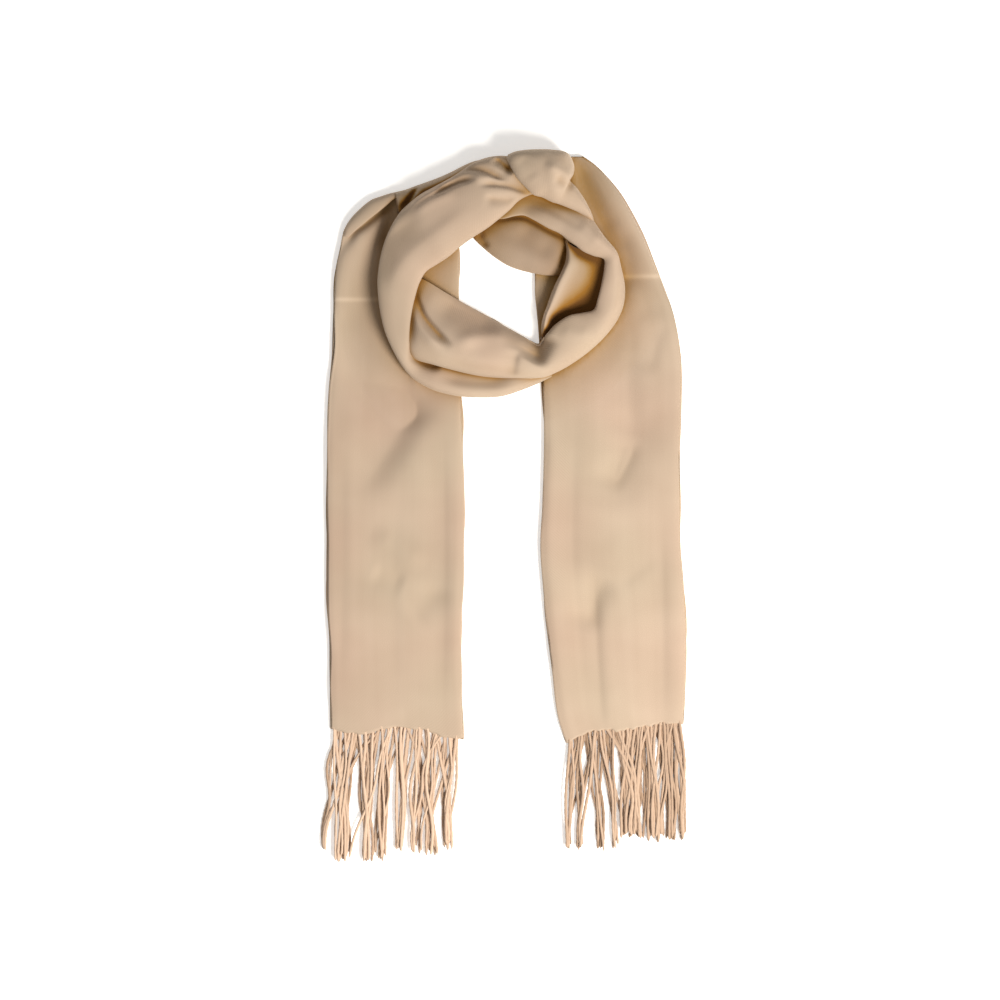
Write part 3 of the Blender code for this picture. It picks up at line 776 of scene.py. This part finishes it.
def with_skirt(points, rest, layers, seed):
    """Adds an edge along the first column, down to the height that it rests on.

    It has as many bulges as layers. It goes in by 1.5 mm between them, and by 0.6 of an
    amount that wanders along the edge from each layer to the next.
    """
    inward = points[:, 3, :2] - points[:, 0, :2]
    inward /= np.linalg.norm(inward, axis=1, keepdims=True)
    down = np.linspace(0, 1, 6 * layers)[1:]
    phase = 0.5 + down * (layers - 0.5)
    number = np.floor(phase)
    bulge = np.sin(np.pi * (phase - number)) ** 0.5
    drift = 0.8 + ripple(np.arange(len(points)) * 3.0, 0.0, 60, seed)
    inset = 1.5 * (1 - bulge) + number * 0.6 * drift[:, None]
    skirt = np.empty((len(points), len(down), 3))
    skirt[..., :2] = points[:, :1, :2] + inward[:, None, :] * inset[..., None]
    skirt[..., 2] = points[:, :1, 2] + (rest - points[:, :1, 2]) * down
    return np.concatenate([skirt[:, ::-1], points], axis=1)


pocket = free_form(INNER_FOLD, POCKET_ROWS, POCKET_COLUMNS)
inner_fold = cloth_mesh(
    "inner_fold_cloth", with_skirt(pocket, TAIL_TOP, POCKET_LAYERS, 9), strong_shade_twill, upward=-12
)
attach(inner_fold, "root")
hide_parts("inner_fold")

# Right side and front roll: the stretch that comes over from the nape, goes round the
# right of the hole and lies across the front as a thick roll.
FRONT_ROLL = [
    (-8, 266, 18, 0, 300, 17, 20, 0.5, 10, 14),
    (2, 266.5, 19, 12, 300, 17, 22, 0.4, 10, 14),
    (11, 268.7, 20, 25, 299, 15, 23.5, 0.32, 10, 13),
    (20.4, 269.3, 21, 38, 296, 14, 25, 0.28, 10, 12),
    (29.6, 265, 22, 50, 291, 13, 27, 0.27, 10, 10),
    (42.6, 257.6, 23, 62, 287, 13, 29, 0.27, 10, 8),
    (54, 252, 24, 72, 284, 13, 30.5, 0.28, 10, 8),
    (66, 243, 24, 79, 276, 14, 31.5, 0.32, 10, 8),
    (74.5, 236.3, 24, 86, 263, 17, 32, 0.38, 10, 8),
    (84, 232, 24, 95, 249.5, 20, 32, 0.5, 10, 8),
    (93.5, 229, 25, 106, 236, 18, 30, 0.5, 10, 8),
    (94, 220, 25, 110.5, 221, 12, 30.5, 0.42, 10, 8),
    (91.5, 206, 25, 113.8, 204, 10, 31, 0.38, 10, 8),
    (88.3, 193, 25, 112.5, 187, 10, 31, 0.38, 10, 8),
    (84.5, 182.5, 24, 106, 172, 11, 31, 0.42, 10, 8),
    (74, 179.5, 24, 94, 156.5, 17, 31, 0.5, 10, 8),
    (62, 177, 24, 78, 142, 17, 31, 0.45, 10, 8),
    (50, 169.5, 23, 62, 131, 17, 31, 0.45, 10, 8),
    (41, 160, 20, 50, 124.5, 17, 31, 0.45, 10, 8),
    (33.3, 150.7, 11, 38, 120, 17, 30, 0.55, 8, 8),
    (19.4, 158.5, 11, 19.4, 118.9, 17, 31, 0.56, 0.6, 1),
    (2.8, 167.8, 10, -1.5, 119.5, 17, 32, 0.58, 0.6, 1),
    (-15.7, 178.3, 10, -22.2, 121.6, 17, 33, 0.6, 0.6, 1),
    (-35.1, 188.9, 12, -44, 126.5, 17, 33, 0.62, 0.6, 8),
    (-53.7, 199.5, 16, -64, 132, 16, 30, 0.68, 8, 8),
    (-68.5, 208.5, 17, -82, 137.5, 13, 26, 0.7, 8, 8),
    (-80, 214, 15, -93, 148, 12, 20.5, 0.66, 8, 8),
]
FRONT_ROLL_CREASES = [
    ([(40, 162), (34, 146), (26, 132)], 11.0, 10, 15),
    ([(14, 146), (11, 134), (9.5, 118)], 2.6, 4, 9),
    ([(4, 286), (26, 283), (46, 277.5), (64, 270), (80, 258)], 3.5, 9, 15),
    ([(-81, 200), (-73, 178), (-61, 163), (-45, 147)], 7.5, 2.6, 6),
    ([(-84, 196), (-79, 176), (-66, 156), (-50, 144)], -3.0, 5, 5),
    ([(-76, 210), (-82, 190), (-84, 165), (-83, 146)], 3, 4, 5),
    ([(-48, 146), (-26, 157), (-6, 160.5), (14, 156)], -3.6, 8, 8),
    ([(-66, 196), (-42, 183), (-18, 172.5), (4, 162)], 7.0, 8, 13),
    ([(-60, 138), (-30, 131), (6, 127), (30, 124)], 1.6, 5, 7),
    ([(20, 276), (40, 270), (60, 259), (80, 243)], -2.0, 5, 6),
    ([(34, 283), (58, 272), (84, 253), (104, 232)], -1.6, 5, 5),
    ([(52, 164), (66, 160), (84, 158)], -1.2, 7, 7),
    ([(70, 262), (80, 250), (92, 242)], -1.0, 6, 6),
]
front = add_band(
    "front_roll_cloth", FRONT_ROLL, FRONT_ROLL_CREASES, twill, ["loop_front"],
    layers=3, seed=21, top_points=84, step=1.7, full=2.05,
)

# Left side and rim: one wide band, gathered at the top, that goes round the left of
# the hole over the end of the roll and then on under the roll as its lower rim.
LEFT_BAND = [
    (64, 286, 6, 40, 314, 8, 14, 0.5, 5, 4),
    (51, 289, 12, 27, 319, 11, 22, 0.5, 10, 1),
    (38, 290, 18, 13, 323, 13, 29, 0.48, 11, 1),
    (26, 288, 23, -1, 325, 14, 34, 0.46, 11, 1),
    (15.7, 282.6, 26, -15, 323, 14, 36.5, 0.44, 11, 1),
    (7, 274, 26, -28, 317.5, 16, 37.5, 0.42, 11, 1),
    (-3, 265.5, 25, -39, 309.7, 18, 38, 0.4, 11, 5),
    (-14, 257, 24, -50, 302.8, 19, 38.5, 0.38, 8, 5),
    (-26, 249.5, 22, -62, 296.3, 20, 38.5, 0.36, 0.6, 5),
    (-38, 240.8, 22, -74, 289.8, 20, 38.5, 0.35, 1, 5),
    (-49, 231.3, 22, -85, 281.5, 20, 38.5, 0.34, 8, 6),
    (-60, 224, 23, -94.3, 272, 21, 36, 0.34, 8, 8),
    (-70, 217.2, 23, -103, 258, 21, 34, 0.35, 8, 8),
    (-76, 207, 23, -109.8, 241, 21, 32.5, 0.37, 8, 8),
    (-79.8, 195, 23, -113.7, 223, 21, 31, 0.38, 8, 8),
    (-83, 181, 23, -114.9, 204, 21, 30, 0.38, 8, 8),
    (-85, 166, 22.5, -112.5, 181, 21, 29, 0.38, 8, 8),
    (-85.3, 152, 21, -107, 159, 20, 27, 0.38, 8, 8),
    (-83, 141.5, 16, -95.5, 135.5, 17, 24, 0.5, 8, 8),
    (-69, 139.5, 8.6, -82.5, 119.5, 13.5, 19.5, 0.74, 8, 8),
    (-52, 136.5, 8.6, -64, 108.8, 11.5, 21, 0.7, 8, 8),
    (-36, 134, 4, -42.5, 103.2, 11, 21.5, 0.68, 1.1, 1.1),
    (-20, 132, 4, -22, 101.6, 10.5, 21.5, 0.68, 1.1, 1.1),
    (0, 130, 4, -1, 102.6, 10, 21, 0.66, 1.1, 1.1),
    (18, 129, 4, 18, 108.4, 9, 19.5, 0.62, 1.1, 1.1),
    (34, 128, 5, 34, 115, 8, 15.5, 0.56, 1.1, 1.1),
    (46, 128, 9, 46, 121, 9, 11, 0.5, 8, 8),
]
LEFT_BAND_CREASES = [
    ([(-10, 323), (-3, 319), (3, 314.5), (12, 308)], 9.0, 3.6, 4.2),
    ([(-42, 309), (-32, 310.8), (-22, 310.3), (-13, 308), (-4, 304), (8, 301)], 6.2, 5.5, 2.2),
    ([(-96, 268), (-86, 280), (-72, 290.4), (-62, 295), (-52, 298)], 6.5, 5.0, 2.4),
    ([(-66, 286), (-53, 293), (-43, 297.6), (-32, 301), (-22, 303)], 6.0, 5.0, 2.4),
    ([(-90, 274), (-76, 285.5), (-62, 293), (-50, 299.5), (-38, 305)], -4.5, 3, 3),
    ([(-84, 268), (-70, 279), (-56, 286), (-40, 291)], -2.2, 4, 6),
    ([(-88, 143), (-72, 134), (-54, 129)], 5.0, 4, 4),
    ([(-24, 296), (-11, 297.5), (7, 295.5), (20, 291), (30, 286.5)], 4.2, 5.5, 2.8),
    ([(-18, 285), (-2, 283.5), (15, 283.5)], 3.0, 3.0, 6),
    ([(-30, 304), (-12, 302), (4, 299)], -1.4, 3, 4),
    ([(-119, 200), (-114, 226), (-105, 245), (-90, 257), (-72, 266)], 4.2, 8, 12),
    ([(-102, 186), (-97, 214), (-82, 234), (-60, 251), (-36, 269), (-22, 281)], -2.4, 8, 12),
    ([(-64, 124), (-40, 118), (-16, 116), (14, 118)], 3.2, 7, 6),
]
left_band = add_band(
    "left_band_cloth", LEFT_BAND, LEFT_BAND_CREASES, twill, ["loop_left", "loop_rim"],
    layers=3, seed=41, top_points=84, step=1.6, full=2.3,
)

# Knuckle: where the left band turns over itself at the top, in a short thick fold
# that runs out into the right side.
KNUCKLE = [
    (4, 321, 26, 5.5, 325.5, 20, 27, 0.5, 13, 4),
    (6, 317, 31, 12, 328.2, 20, 36, 0.5, 13, 2),
    (9, 311, 33, 21, 329.8, 19, 40.5, 0.5, 13, 1),
    (13.5, 303, 34, 32, 330.5, 18, 43.5, 0.5, 13, 1),
    (20.4, 295.5, 34, 46, 330.3, 18, 45.5, 0.5, 13, 1),
    (29, 287.5, 33, 60, 327.5, 18, 45.5, 0.5, 13, 8),
    (38, 285, 32, 66.3, 317, 19, 44, 0.5, 13, 8),
    (46.6, 281, 31, 66, 307.5, 21, 42, 0.5, 13, 8),
    (54, 278.5, 30, 62.8, 301.5, 22, 39, 0.5, 13, 8),
    (63, 275, 29, 68.5, 295.5, 20, 36.5, 0.5, 13, 8),
    (71, 271.5, 27, 77, 283, 19, 33, 0.5, 13, 8),
    (78, 267, 23, 83, 271, 18, 28, 0.5, 13, 8),
    (82, 262, 18, 85, 264.5, 15, 21, 0.5, 12, 8),
]
KNUCKLE_CREASES = [
    ([(38, 335), (49, 325), (61, 316), (73, 311)], 2.8, 9, 7),
    ([(38, 317), (46, 313), (54, 308.5), (61, 303.5), (70, 296)], -2.7, 6, 5),
    ([(46, 319), (46, 308), (47, 298), (51, 284)], -1.7, 6, 6),
    ([(48, 304), (57, 299.5), (68, 295)], 2.0, 4, 5),
    ([(14, 322), (22, 312), (30, 300)], 1.4, 7, 9),
]
knuckle = add_band(
    "knuckle_cloth", KNUCKLE, KNUCKLE_CREASES, twill, ["knuckle"],
    layers=5, seed=61, top_points=64, step=1.6, rough=0.2,
)

# Fringes: the warp ends past each hem, twisted by hand into two-ply strands of about
# 105 mm. They come out of the folded hem in four rows and lie in loose clumps.
YARN_LIGHT = "#C9AD95"
YARN_DEEP = "#8E735B"
# Strands in each row, from the floor up, and the height of each row's tips
ROWS_LEFT = [20, 22, 21, 18]
ROWS_RIGHT = [30, 28, 26, 22]
TIP_HEIGHTS = [1.7, 3.1, 4.5, 5.9]
ROOT_HEIGHT = 1.6  # of the lowest row
ROOT_RISE = 0.7  # from one row to the next
ROOT_INSET = 2  # of the outermost strands from the hem's ends
ROW_SHADE_STEP = 0.16  # painted shade: each row is painted lighter than the one under it, which lies in its shade
STRAND_SIDES = 10
STRAND_POINTS = 44
STRAND_RADIUS = (1.15, 1.65)
PLY_GROOVE = 0.24  # depth of the groove between the two plies, as a share of the radius
PLY_MM = 7.5  # length over which the plies turn half round each other
TIP_START = 0.965  # where along a strand it starts to round off to its tip
TIP_SHARE = 0.036
FAR_STRAY = 5  # how many times further the few far ones stray
YARN_ROUND_MM = 8  # round a strand
YARN_APART_MM = 37  # from strand to strand in the pattern, so that no two look alike
TONES_PER_METRE = 60.0
FIBRES_PER_METRE = 1100.0
LEAST_HEIGHT = 0.05  # of a strand's underside
# Each clump: x and y of its tips, half its width, its share of the strands
CLUMPS_LEFT = [
    (-165, -317, 2, 0.03),
    (-147, -328, 8, 0.20),
    (-125, -328, 5, 0.15),
    (-112, -327.5, 5, 0.13),
    (-96, -319, 4, 0.11),
    (-72, -322, 12, 0.24),
    (-50, -317, 4, 0.14),
]
CLUMPS_RIGHT = [
    (61.5, -318, 3, 0.06),
    (72, -318, 3, 0.05),
    (91.5, -318, 3, 0.07),
    (106, -317, 3, 0.08),
    (121, -306, 11, 0.33),
    (140.5, -311, 5, 0.15),
    (154, -308, 7, 0.17),
    (167, -308, 3, 0.09),
]


def yarn_material(name, light, deep):
    """Twisted yarn: matt and fuzzy, each strand with its own tone and painted shade, from its attribute
    "tone".
    """
    material, tree, shader = new_material(name, {"Roughness": 0.9, "Sheen Weight": 0.3})
    thread = {"Vector": add_node(tree, "ShaderNodeTexCoord").outputs["UV"]}
    patch = add_node(tree, "ShaderNodeTexNoise", {"Scale": TONES_PER_METRE, "Detail": 3.0}, thread)
    own = add_node(tree, "ShaderNodeAttribute", {".attribute_name": "tone"})
    mixed = add_node(
        tree,
        "ShaderNodeMix",
        {".data_type": "FLOAT", "Factor": 0.25},
        {"A": own.outputs["Fac"], "B": patch.outputs["Fac"]},
    )
    tones = add_node(
        tree, "ShaderNodeValToRGB", None, {"Fac": mixed.outputs[0]}, [(0.1, deep), (0.8, light)]
    )
    tree.links.new(tones.outputs["Color"], shader.inputs["Base Color"])
    fuzz = {"Scale": FIBRES_PER_METRE, "Detail": 3.0, "Roughness": 0.7}
    fibre = add_node(tree, "ShaderNodeTexNoise", fuzz, thread)
    raised = {"Strength": 0.4, "Distance": 0.0003}
    bump = add_node(tree, "ShaderNodeBump", raised, {"Height": fibre.outputs["Fac"]})
    tree.links.new(bump.outputs["Normal"], shader.inputs["Normal"])
    return material


def two_ply(middle, run, girth, phase):
    """The surface of strands round their middle lines, as rings of points with their angles.

    At the angle a, the radius is girth (0.76 + 0.24 |cos(a - twist)|), for two plies that
    turn half round each other in 7.5 mm. The last part rounds off to a blunt tip.
    """
    t = np.linspace(0, 1, STRAND_POINTS)[None, :]
    ahead = np.gradient(middle, axis=1)
    ahead /= np.linalg.norm(ahead, axis=2, keepdims=True)
    side = np.cross(ahead, (0, 0, 1.0))
    side /= np.linalg.norm(side, axis=2, keepdims=True)
    up = np.cross(side, ahead)
    angle = np.linspace(0, 2 * np.pi, STRAND_SIDES, endpoint=False)[None, None, :]
    twist = (run / PLY_MM * np.pi + phase * 6)[..., None]
    to_tip = np.clip((t - TIP_START) / TIP_SHARE, 0, 1)
    blunt = np.sqrt(np.clip(1 - to_tip**2, 0.02, 1))
    plies = 1 - PLY_GROOVE + PLY_GROOVE * np.abs(np.cos(angle - twist))
    radius = ((girth * blunt)[..., None] * plies)[..., None]
    away = np.cos(angle)[..., None] * side[:, :, None] + np.sin(angle)[..., None] * up[:, :, None]
    ring = middle[:, :, None] + radius * away
    ring[..., 2] = np.maximum(ring[..., 2], LEAST_HEIGHT)
    return ring, np.broadcast_to(angle, ring.shape[:3])


def fringe(name, hem, clumps, rows, stray, crowd, far, painted_light, seed):
    """Strands along a hem, with their roots spread as s^crowd for an even s from 0 to 1.

    Each goes to the clump that is due at its s, give or take the stray, and a few, as
    many as the far share, stray five times as far. The lower rows are painted darker, as
    painted shade under the rows above, and the painted light sets how light the whole
    fringe is. From root r to tip, x = r + (tip - r)(1 - (1 - t)^p) + wave sin(2 pi (f t + q))
    (t - t^2), and y runs evenly. Over the first quarter its height settles to that of its row.
    """
    draw = np.random.default_rng(seed)
    t = np.linspace(0, 1, STRAND_POINTS)[None, :]
    hem_x, hem_y = np.array(hem, float).T
    tip_x, tip_y, half, portion = np.array(clumps).T
    limits = np.cumsum(portion) / np.sum(portion)
    points, faces, lengths, tones = [], [], [], []
    count = 0
    for level, (strands, low) in enumerate(zip(rows, TIP_HEIGHTS)):
        share = (np.arange(strands) + draw.uniform(0.1, 0.9, strands)) / strands
        root = hem_x[0] + ROOT_INSET + (hem_x[-1] - hem_x[0] - 2 * ROOT_INSET) * share**crowd
        reach = np.where(draw.uniform(0, 1, strands) < far, FAR_STRAY, 1) * stray
        due = np.clip(share + draw.normal(0, 1, strands) * reach, 0, 0.999)
        # painted shade in the tone: lower rows darker, plus each strand's own random tone
        tone = np.clip(painted_light + ROW_SHADE_STEP * level + draw.uniform(-0.2, 0.2, strands), 0, 1)
        clump = np.searchsorted(limits, due)
        tip = tip_x[clump] + half[clump] * draw.uniform(-1, 1, strands)
        end = tip_y[clump] + draw.uniform(-1.2, 9, strands)
        power = draw.uniform(1.0, 2.6, strands)[:, None]
        wave = draw.uniform(2, 16, strands)[:, None]
        beat = draw.uniform(0.5, 1.4, strands)[:, None]
        phase = draw.uniform(0, 1, strands)[:, None]
        begin = (np.interp(root, hem_x, hem_y) + draw.uniform(1, 4, strands))[:, None]
        x = root[:, None] + (tip - root)[:, None] * (1 - (1 - t) ** power)
        x = x + wave * np.sin(2 * np.pi * (beat * t + phase)) * (t - t**2)
        y = begin + (end[:, None] - begin) * t
        high = ROOT_HEIGHT + level * ROOT_RISE
        z = high + (low - high) * np.clip(4 * t, 0, 1) + 0.3 * np.sin(9 * t + phase * 6)
        middle = np.stack(np.broadcast_arrays(x, y, z), -1)
        steps = np.linalg.norm(np.diff(middle, axis=1), axis=2)
        run = np.sum(steps, axis=1)[:, None] * t
        ring, angle = two_ply(middle, run, draw.uniform(*STRAND_RADIUS, strands)[:, None], phase)
        number = np.arange(angle.size).reshape(angle.shape) + count
        after = np.roll(number, -1, axis=2)
        quads = np.stack([number[:, :-1], after[:, :-1], after[:, 1:], number[:, 1:]], -1)
        points.append(ring.reshape(-1, 3))
        faces += quads.reshape(-1, 4).tolist()
        faces += number[:, 0].tolist() + number[:, -1, ::-1].tolist()
        u = angle / (2 * np.pi) * YARN_ROUND_MM + np.arange(strands)[:, None, None] * YARN_APART_MM
        v = np.broadcast_to(run[..., None], ring.shape[:3])
        lengths.append(np.stack([u, v], -1).reshape(-1, 2))
        tones.append(np.repeat(tone, STRAND_POINTS * STRAND_SIDES))
        count += angle.size
    points, lengths, tones = (np.concatenate(parts) for parts in (points, lengths, tones))
    piece = smooth_mesh(name, points, faces, lengths, "tone", tones, yarn)
    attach(piece, "root")
    return piece


yarn = yarn_material("twisted_wool_yarn", YARN_LIGHT, YARN_DEEP)
fringe_left = fringe(
    "left_fringe_strands", HEM_LEFT, CLUMPS_LEFT, ROWS_LEFT,
    stray=0.05, crowd=1.0, far=0.25, painted_light=0.35, seed=5,
)
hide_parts("fringe_left")
# painted shade: the right fringe is painted darker all over, as shade among its dense strands
fringe_right = fringe(
    "right_fringe_strands", HEM_RIGHT, CLUMPS_RIGHT, ROWS_RIGHT,
    stray=0.035, crowd=0.75, far=0.08, painted_light=0.0, seed=8,
)
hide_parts("fringe_right")

# Painted shade in the folds: light that reaches the bottom of a fold has gone through and
# between the layers, so the cloth there is painted darker and more ochre than on the crests.
CELL_MM = 2.0
BEARINGS = 16
REACHES_MM = (5, 8, 11, 15, 20, 26, 33, 40)
MARGIN_MM = 5
ROUGHNESS_MM = 0.6  # cloth that rises less than this hides nothing
CLOTH_PIECES = [tail_left, tail_right, shoulder, strip, nape, inner_fold, front, left_band, knuckle]


def mesh_vectors(vectors, field):
    """One vector for each point of a mesh, such as its place or its normal."""
    flat = np.empty(len(vectors) * 3, np.float32)
    vectors.foreach_get(field, flat)
    return flat.reshape(-1, 3).astype(float)


def paint_fold_shade(pieces):
    """Stores how much of its sky each point loses to the cloth round it, from 0 to 1,
    which sets how much painted shade its colour gets.

    The highest cloth in each square cell of the plan gives the height of the heap. A cell
    with none takes its higher neighbour's height along X or along Y, whichever is less.
    In each of sixteen bearings, the walls within 40 mm hide the sky up to the angle h of
    the steepest one, which takes sin^2 h of its light. The share is the mean over the
    bearings, each weighted by n_up + the normal's lean towards it, where above zero.
    """
    clouds = [mesh_vectors(piece.data.vertices, "co") / MM for piece in pieces]
    everything = np.concatenate(clouds)
    margin = REACHES_MM[-1] + MARGIN_MM
    low = everything[:, :2].min(0) - margin
    size = ((everything[:, :2].max(0) + margin - low) / CELL_MM).astype(int) + 1
    high = np.zeros(size)
    cell = ((everything[:, :2] - low) / CELL_MM).astype(int)
    np.maximum.at(high, (cell[:, 0], cell[:, 1]), everything[:, 2])
    beside = [np.maximum(np.roll(high, 1, axis), np.roll(high, -1, axis)) for axis in (0, 1)]
    high = np.where(high > 0, high, np.minimum(*beside))
    for piece, cloud in zip(pieces, clouds):
        normal = mesh_vectors(piece.data.vertex_normals, "vector")
        hidden, weights = np.zeros(len(cloud)), np.zeros(len(cloud))
        for turn in np.arange(BEARINGS) * 2 * np.pi / BEARINGS:
            way = np.array([np.cos(turn), np.sin(turn)])
            steepest = np.zeros(len(cloud))
            for reach in REACHES_MM:
                cell = ((cloud[:, :2] + way * reach - low) / CELL_MM).astype(int)
                rise = high[cell[:, 0], cell[:, 1]] - cloud[:, 2] - ROUGHNESS_MM
                steepest = np.maximum(steepest, rise / reach)
            weight = np.maximum(normal[:, 2] + normal[:, :2] @ way, 0)
            hidden += weight * steepest**2 / (1 + steepest**2)
            weights += weight
        share = hidden / np.maximum(weights, 1e-6)
        mark_points(piece.data, "painted_fold_shade", np.clip(share, 0, 1))


# paints the fold shade into the colour of every cloth piece
paint_fold_shade(CLOTH_PIECES)
